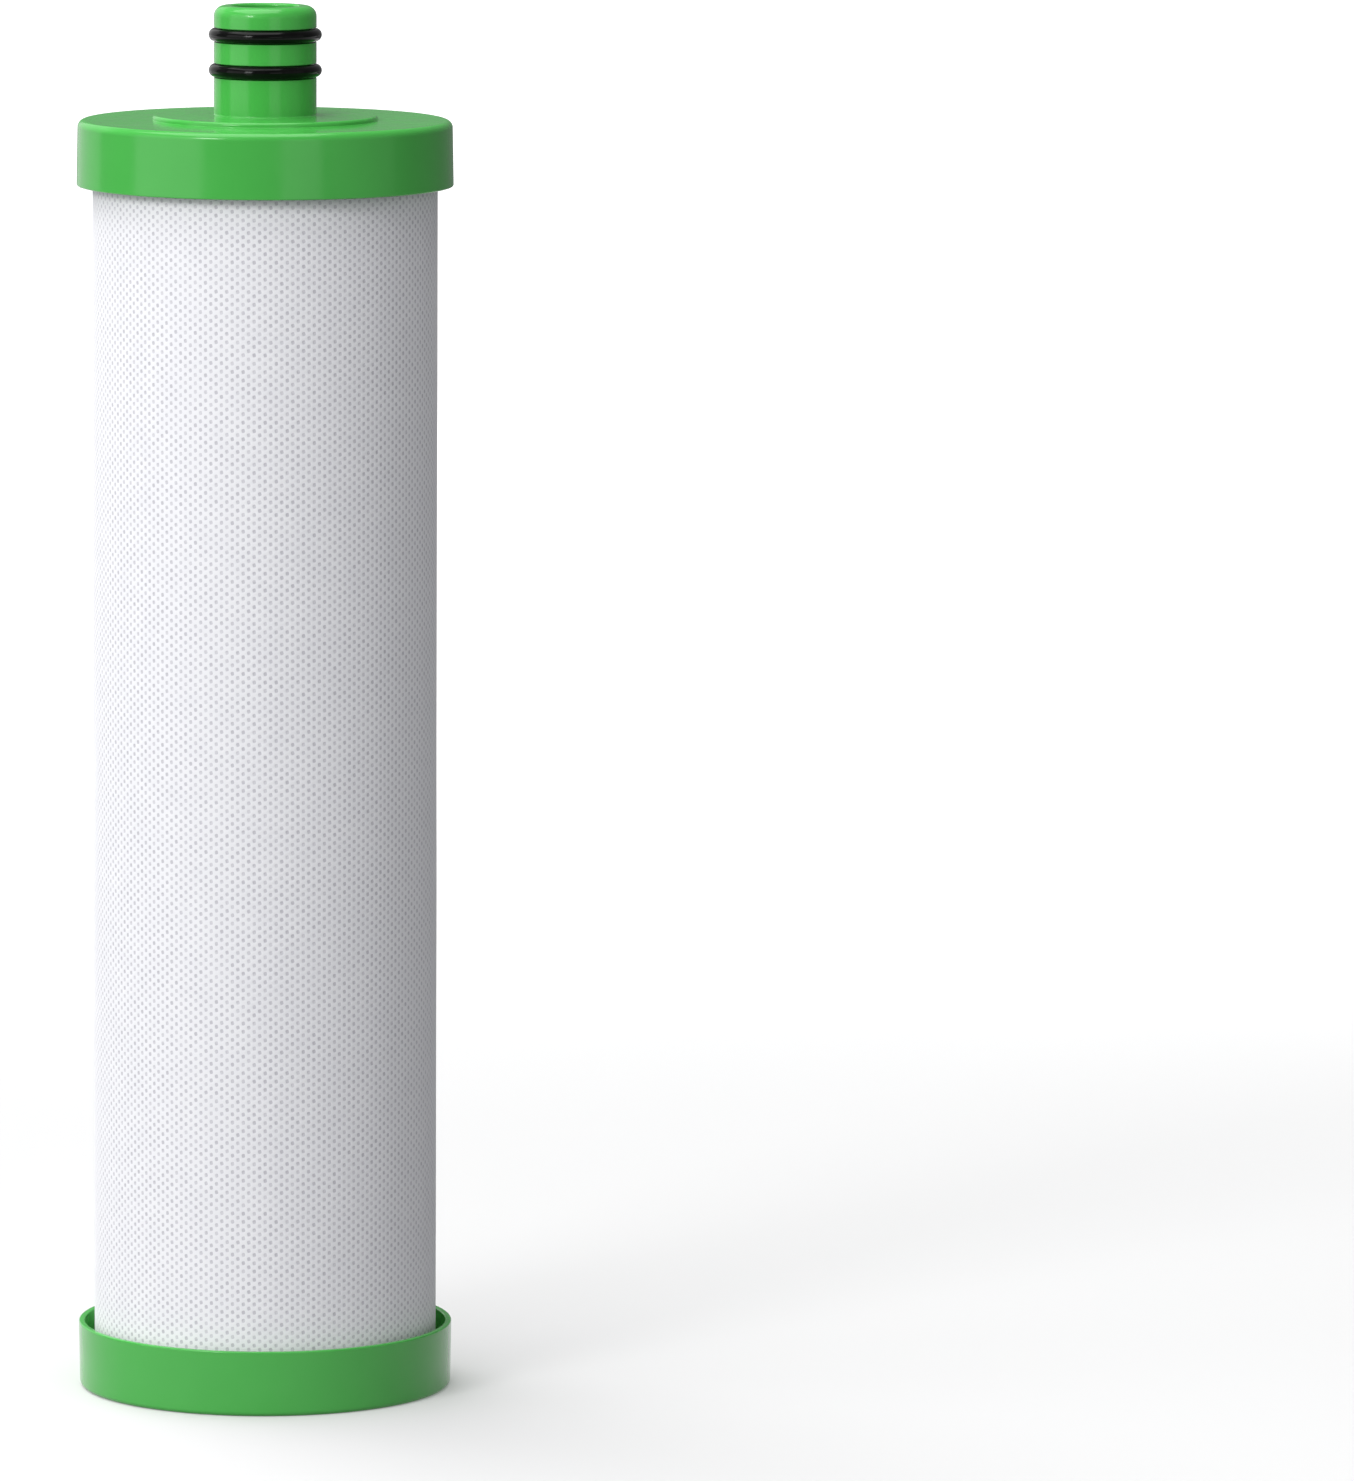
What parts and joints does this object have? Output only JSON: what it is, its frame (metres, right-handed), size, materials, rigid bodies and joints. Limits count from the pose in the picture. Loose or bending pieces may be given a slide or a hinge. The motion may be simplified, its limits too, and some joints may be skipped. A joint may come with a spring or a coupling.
{
  "type": "drop-in water filter cartridge",
  "caption": "Cylindrical carbon filter cartridge with a white embossed wrap, green cup-shaped end caps and a bored spigot sealed by black rings.",
  "frame": {"origin": "on the cartridge's axis, at the level of the foot ring under the bottom end cap", "axes": "+Z along the axis, from the bottom end cap up to the spigot; the lap seam of the wrap is at the back, towards +Y"},
  "size_m": [0.07, 0.07, 0.2592],
  "materials": {
    "cap_plastic": "gloss",
    "seal_rubber": "satin",
    "wrap_nonwoven": "matte",
    "prefilter_fleece": "matte",
    "pressed_carbon": "matte",
    "core_plastic": "satin",
    "hot_melt": "satin"
  },
  "bodies": {
    "root": {"top_end_cap": "cap_plastic", "bottom_end_cap": "cap_plastic", "upper_o_ring": "seal_rubber", "lower_o_ring": "seal_rubber", "outer_wrap": "wrap_nonwoven", "wrap_seam_bead": "hot_melt", "prefilter_wrap": "prefilter_fleece", "carbon_block": "pressed_carbon", "core_sleeve": "prefilter_fleece", "core_tube": "core_plastic", "top_bond_ring": "hot_melt", "bottom_bond_ring": "hot_melt"}
  },
  "joints": []
}
